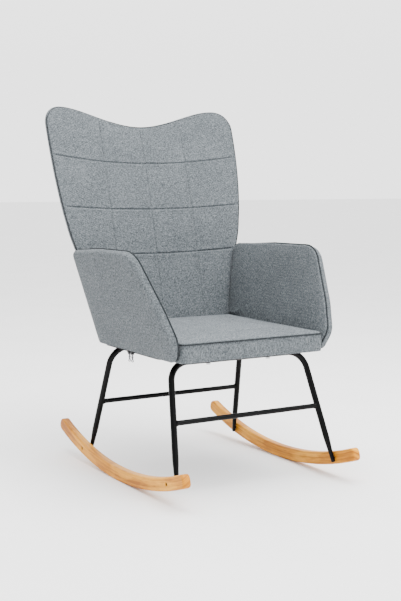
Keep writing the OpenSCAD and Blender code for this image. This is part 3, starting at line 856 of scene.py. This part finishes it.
def build_arm(side, word):
    """An arm: the pad on its inner face, the shell outside it and the cord between."""
    place = place_arm(side)
    outline = rounded(ARM_CORNERS, 16)
    loop = resample(outline, 4)
    inner_loop = loop + inward(loop) * 0.8
    inner_loop[:, 0] += 12 * np.clip((inner_loop[:, 0] - 120) / 60, 0, 1)
    panel = Panel(inner_loop, 5.5, (0.8, 2, 3.8, 6, 9, 13))

    def inner(p, d):
        """The pad is rounded off at its piped edge; the rear edge is sewn to the back and full."""
        rear = arm_rear(p[:, 1]) - p[:, 0]
        d = np.where(rear < 30, np.maximum(d, np.minimum(220 - p[:, 1], 60)), d)
        t = 3.4 - 5.2 * quarter(d / 6) - 2.0 * (1 - np.exp(-d / 38))
        return t - arm_bulge(p) + 0.4 * ripple(p, 0.024, 2.0 + side)

    verts, faces = pad_mesh(panel, inner, lambda p, d: np.full(len(p), 8.5), place, 3, 0.0)
    n = len(panel.pts)
    held = np.clip(1.5 - panel.dist / 4, 0, 1)
    verts[:n] = inflate(verts[:n], panel.faces, held, 1.4, 2.2, flip=side > 0)
    ob = outward(dress(new_object(word + "_arm_inner_pad", verts, faces), GREY))
    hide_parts(word + "_arm_inner_cover", word + "_arm_inner_foam")

    panel = Panel(loop, 5.5, (0.5, 1.3, 2.6, 4.4, 6.6, 9.2, 12.5))

    def outer(p, d):
        rear = np.clip((arm_rear(p[:, 1]) - p[:, 0]) / 48, 0, 1)
        thick = 10 + (ARM_THICK - 10) * np.sin(rear * math.pi / 2)
        r = np.minimum(10, thick * 0.6)
        return (thick - r * (1 - quarter(d / 11)) + smoothstep(d / 70)
                + 0.45 * ripple(p, 0.019, 5.0 + side))

    def hidden(p, d):
        return 3.6 + 5.6 * smoothstep((d - 2) / 4) * (arm_rear(p[:, 1]) - p[:, 0] > 45)

    verts, faces = pad_mesh(panel, outer, hidden, place, 4, 0.7)
    n = len(panel.pts)
    held = np.clip(1.5 - panel.dist / 8, 0, 1)
    verts[:n] = inflate(verts[:n], panel.faces, held, 1.4, 1.6, flip=side < 0)
    ob = outward(dress(new_object(word + "_arm_outer_shell", verts, faces), GREY))
    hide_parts(word + "_arm_outer_cover", word + "_arm_outer_foam")

    cord = loop - inward(loop) * 0.6
    path = place(cord, np.full(len(cord), 3.5))
    path[:, 0] = side * np.maximum(side * path[:, 0], 214.0)
    path[:, 2] = np.maximum(path[:, 2], 340.0)
    ob = dress(new_object(word + "_arm_piping_cord", *tube(path, 2.0, 12, closed=True)), PIPING)
    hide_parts(word + "_arm_piping")


# ------------------------------------------------------------------ rockers and legs

ROCKER_R, ROCKER_H, ROCKER_T, CONTACT_Y = 989.0, 34.0, 22.0, -5.0
ROCKER_FRONT, ROCKER_REAR, ROCKER_OUTER = math.radians(19.5), math.radians(20.9), 262.0
ROCKER_ROUNDING = 4.5
BOLT_YS = (-266.0, 210.0)
BOLT_HOLE_R = 4.9
# The counterbored bolt hole as (share of its radius, depth from the outer face).
BOLT_HOLE = ((1.0, 0.7), (0.94, 1.2), (0.94, 7), (0.56, 7), (0.56, ROCKER_T))


def rocker_z(y):
    """Height of the rocker's middle line."""
    return ROCKER_R - math.sqrt((ROCKER_R - ROCKER_H / 2) ** 2 - (y - CONTACT_Y) ** 2)


def rocker_outline():
    """The rocker's side outline as (depth, height)."""
    def arc(r, a, b, n):
        t = np.linspace(a, b, n)
        return np.stack([CONTACT_Y + r * np.sin(t), ROCKER_R - r * np.cos(t)], 1)

    def nose(a, sign):
        mid = np.array([CONTACT_Y + (ROCKER_R - ROCKER_H / 2) * math.sin(a),
                        ROCKER_R - (ROCKER_R - ROCKER_H / 2) * math.cos(a)])
        along = np.array([math.cos(a), math.sin(a)]) * sign
        up = np.array([-math.sin(a), math.cos(a)])
        h = ROCKER_H / 2
        t = np.linspace(-math.pi / 2, math.pi / 2, 30)[1:-1]
        e = 0.85 if sign > 0 else 0.6
        x = np.abs(np.cos(t)) ** e * h
        y = np.sign(np.sin(t)) * np.abs(np.sin(t)) ** e * h
        pts = mid + x[:, None] * along + y[:, None] * up
        return pts if sign > 0 else pts[::-1]

    low = arc(ROCKER_R, -ROCKER_FRONT, ROCKER_REAR, 120)
    high = arc(ROCKER_R - ROCKER_H, ROCKER_REAR, -ROCKER_FRONT, 120)
    return np.vstack([low, nose(ROCKER_REAR, 1), high, nose(-ROCKER_FRONT, -1)])


def build_rocker(side, word):
    """A rocker with rounded edges and two bolt holes; its grain follows the bend."""
    ring = np.arange(28) * 2 * math.pi / 28
    holes = [np.array([y, rocker_z(y)]) + BOLT_HOLE_R * np.stack([np.cos(ring), np.sin(ring)], 1)
             for y in BOLT_YS]
    panel = Panel(rocker_outline(), 4.0, (0.3, 0.9, 1.8, 3.0, 4.4, 6.5), holes=holes)
    sunk = ROCKER_ROUNDING * (1 - quarter(edge_distance(panel.pts, panel.edge) / ROCKER_ROUNDING))

    def place(p, h):
        return np.stack([side * h, p[:, 0], p[:, 1]], 1)

    n = len(panel.pts)
    verts = [place(panel.pts, ROCKER_OUTER - sunk),
             place(panel.pts, ROCKER_OUTER - ROCKER_T + sunk)]
    rim = panel.loops[0]
    faces = both_sides(panel) + wall_faces(rim, [i + n for i in rim])
    at = 2 * n
    for hole, centre in zip(panel.loops[1:], BOLT_YS):
        c = np.array([[centre, rocker_z(centre)]])
        p = panel.pts[hole]
        m = len(hole)
        prev = list(hole)
        for share, depth in BOLT_HOLE:
            verts.append(place(c + (p - c) * share, np.full(m, ROCKER_OUTER - depth)))
            cur = list(range(at, at + m))
            at += m
            faces += wall_faces(prev, cur)
            prev = cur
        faces += wall_faces(prev, [i + n for i in hole])
    verts = np.vstack(verts)
    ob = outward(dress(new_object(word + "_rocker_wood", verts, faces), BEECH))
    a = np.arctan2(verts[:, 1] - CONTACT_Y, ROCKER_R - verts[:, 2])
    r = np.hypot(verts[:, 1] - CONTACT_Y, ROCKER_R - verts[:, 2])
    grain = np.stack([a * ROCKER_R, ROCKER_R - r + 0.6 * np.abs(verts[:, 0]) + 40 * side], 1) / 1000
    layer = ob.data.uv_layers.new(name="Grain")
    vertex = np.empty(len(ob.data.loops), int)
    ob.data.loops.foreach_get("vertex_index", vertex)
    layer.data.foreach_set("uv", grain[vertex].ravel())
    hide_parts(word + "_rocker")


RUN_Z, TUBE_R, TIP_R, BEND_R, LEG_FOOT, BAR_R = 326.0, 8.0, 5.0, 52.0, 233.4, 6.5
PAST_BOLT = 11.0    # how far a leg runs on beyond its bolt
TAPER = 76.0        # length of a leg's swaged end
LEG_POINTS = np.array([86, 80, TAPER, 70, 60, 40, 20, 8, 1.5, 0])    # distances from the tip


def hoop_path(run_y, bolt_y, corner):
    """Centre line of a leg hoop from foot to foot, with its radius at each point."""
    length = math.hypot(bolt_y - run_y, rocker_z(bolt_y) - RUN_Z)
    lean = math.atan2(bolt_y - run_y, RUN_Z - rocker_z(bolt_y))
    splay = math.atan2(LEG_FOOT - corner, length)
    start = corner - BEND_R * math.tan((math.pi / 2 - splay) / 2)
    a = np.linspace(math.pi / 2, splay, 18)
    bend = np.stack([start + BEND_R * np.cos(a), BEND_R * (np.sin(a) - 1)], 1)
    d = np.array([math.sin(splay), -math.cos(splay)])
    foot = np.array([LEG_FOOT, -length]) + PAST_BOLT * d
    down = [foot - d * q for q in LEG_POINTS]
    mid = [bend[-1] + (down[0] - bend[-1]) * f for f in (0.25, 0.5, 0.75)]
    half = np.vstack([bend, mid, down])
    swage = smoothstep((TAPER - LEG_POINTS) / (TAPER - 2))
    r = np.concatenate([np.full(len(bend) + len(mid), TUBE_R), TUBE_R - (TUBE_R - TIP_R) * swage])
    r[-1] = TIP_R - 1.2
    flat = np.vstack([half[::-1] * [-1, 1], half])
    radius = np.concatenate([r[::-1], r])
    y = run_y + flat[:, 1] * -math.sin(lean)
    return np.stack([flat[:, 0], y, RUN_Z + flat[:, 1] * math.cos(lean)], 1), radius


def build_hoop(word, run_y, bolt_y, corner, bar_z):
    """A leg hoop and its stretcher, which has a weld bead at each end."""
    path, radius = hoop_path(run_y, bolt_y, corner)
    ob = outward(dress(new_object(word + "_leg_tube", *tube(path, radius, 28)), BLACK))
    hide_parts(word + "_leg_hoop")

    half = path[len(path) // 2:]
    order = np.argsort(half[:, 2])
    at = np.array([np.interp(bar_z, half[order, 2], half[order, k]) for k in range(3)])

    def across(x, radius):
        return tube(np.stack([x, np.full(len(x), at[1]), np.full(len(x), bar_z)], 1), radius, 24)

    parts = [across(np.linspace(-at[0], at[0], 41), BAR_R)]
    weld = np.linspace(0, 1, 9)
    for side in (-1, 1):
        parts.append(across(side * (at[0] - TUBE_R + 1.2 - 6.5 * weld),
                            BAR_R + 2.3 * (1 - weld) ** 2 + 0.25 * np.sin(weld * 19)))
    ob = outward(dress(new_object(word + "_stretcher_bar", *join(parts)), BLACK))
    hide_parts(word + "_stretcher")


# ------------------------------------------------------------------ zips

TOOTH_PITCH = 1.9
# A zip tooth's sections as (distance from the zip's middle, height, half width).
TOOTH = ((2.2, 0.55, 0.527), (0.6, 0.8, 0.62), (-0.9, 0.8, 0.465))


def build_zip(word):
    """The zip's tape and its teeth, in the box of its CAD node."""
    low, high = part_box(word + "_zip")
    x0 = (low[0] + high[0]) / 2 * 1000
    y0, y1 = low[1] * 1000 + DEPTH_SHIFT, high[1] * 1000 + DEPTH_SHIFT
    top = high[2] * 1000
    tape = rounded([(x0 - 8, y0, 1.5), (x0 + 8, y0, 1.5), (x0 + 8, y1, 1.5), (x0 - 8, y1, 1.5)], 4)
    panel = Panel(tape, 4.0, (0.4, 1.0))

    def face(p, d):
        return top - 0.7 - 0.4 * np.exp(-((p[:, 0] - x0) / 2.6) ** 2)

    verts, faces = pad_mesh(panel, lambda p, d: np.full(len(p), top - 0.02), face, place_seat, 2)
    tape_faces = len(faces)
    parts = [(verts, faces)]
    tooth_faces = [(j + k, j + (k + 1) % 6, j + 6 + (k + 1) % 6, j + 6 + k)
                   for j in (0, 6) for k in range(6)]
    tooth_faces += [tuple(range(6))[::-1], tuple(range(12, 18))]
    for i in range(int((y1 - y0 - 8) / TOOTH_PITCH)):
        y = y0 + 4 + i * TOOTH_PITCH
        way = 1 if i % 2 else -1
        v = []
        for out, h, w in TOOTH:
            for dy, dz in ((-w, 0), (-w, -h), (-w * 0.55, -h - 0.25),
                           (w * 0.55, -h - 0.25), (w, -h), (w, 0)):
                v.append((x0 + way * out, y + dy, top - 1.15 + dz * 0.95))
        parts.append((v, tooth_faces))
    verts, faces = join(parts)
    ob = outward(dress(new_object(word + "_zip_chain", verts, faces), ZIP_TAPE, ZIP_TEETH))
    for poly in ob.data.polygons[tape_faces:]:
        poly.material_index = 1
        poly.use_smooth = False
    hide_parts(word + "_zip")


# ------------------------------------------------------------------ assembly

build_back()
build_seat()
for side, word in ((1, "left"), (-1, "right")):
    build_arm(side, word)
    build_rocker(side, word)
    build_zip(word)
build_hoop("front", -175.0, BOLT_YS[0], 198.5, 186.0)
build_hoop("rear", 130.0, BOLT_YS[1], 205.0, 174.0)

for part in frame["record"]["subparts"]:
    paint_node(part["node"], SLOT_MATERIAL[part["material_slot"]])
paint_node("rocker_bolts", ENAMEL)

# ------------------------------------------------------------------ stage, light, camera

FLOOR_HALF = 40.0
EYE, LOOK = Vector((-1.5035, -2.51962, 0.7651)), Vector((-0.179, -0.30392, 0.49))
SENSOR, FOCAL_LENGTH = 36.0, 65.8902

floor_mesh = bpy.data.meshes.new("floor")
corners = [(x * FLOOR_HALF, y * FLOOR_HALF, 0) for x, y in ((-1, -1), (1, -1), (1, 1), (-1, 1))]
floor_mesh.from_pydata(corners, [], [(0, 1, 2, 3)])
floor = bpy.data.objects.new("floor", floor_mesh)
bpy.context.scene.collection.objects.link(floor)
pale = Nodes("pale_floor")
tone = pale.ramp(pale.noise((3, 3, 3)), [(0.3, (0.93, 0.93, 0.93)), (0.7, (0.96, 0.96, 0.96))])
floor_mesh.materials.append(pale.finish(tone, 0.9, Specular_IOR_Level=0.1))

world = bpy.data.worlds.new("studio")
bpy.context.scene.world = world
world.use_nodes = True
nodes, link = world.node_tree.nodes, world.node_tree.links.new
sky = nodes["Background"]
sky.inputs["Color"].default_value = (1, 1, 1, 1)
coords = nodes.new("ShaderNodeTexCoord")
split = nodes.new("ShaderNodeSeparateXYZ")
link(coords.outputs["Generated"], split.inputs[0])


def fade(axis, start, end, low, high):
    """A factor that goes from low to high as a direction's axis goes from start to end."""
    n = nodes.new("ShaderNodeMapRange")
    for name, value in (("From Min", start), ("From Max", end), ("To Min", low), ("To Max", high)):
        n.inputs[name].default_value = value
    link(split.outputs[axis], n.inputs["Value"])
    return n.outputs[0]


def times(a, b):
    n = nodes.new("ShaderNodeMath")
    n.operation = "MULTIPLY"
    link(a, n.inputs[0])
    link(b, n.inputs[1])
    return n.outputs[0]


# Brighter overhead and behind, darker to the left.
glow = times(fade("Z", 0.1, 1.0, 1.45, 2.6), fade("X", -1.0, 0.0, 0.42, 1.0))
link(times(glow, fade("Y", 0.1, 0.7, 1.0, 1.9)), sky.inputs["Strength"])


def area_light(name, at, aim, size, power):
    data = bpy.data.lights.new(name, "AREA")
    data.shape = "RECTANGLE"
    data.size, data.size_y = size
    data.energy = power
    ob = bpy.data.objects.new(name, data)
    ob.location = at
    ob.rotation_mode = "QUATERNION"
    ob.rotation_quaternion = (Vector(aim) - Vector(at)).to_track_quat("-Z", "Y")
    bpy.context.scene.collection.objects.link(ob)


area_light("overhead", (0.2, -0.4, 3.2), (0, 0, 0.4), (2.4, 2.4), 160)
area_light("front_key", (1.0, -2.2, 3.0), (0, 0, 0.6), (1.8, 1.8), 60)

lens = bpy.data.cameras.new("camera")
lens.sensor_width = SENSOR
lens.lens = FOCAL_LENGTH
camera = bpy.data.objects.new("camera", lens)
camera.location = EYE
camera.rotation_mode = "QUATERNION"
camera.rotation_quaternion = (LOOK - EYE).to_track_quat("-Z", "Y")
bpy.context.scene.collection.objects.link(camera)
bpy.context.scene.camera = camera
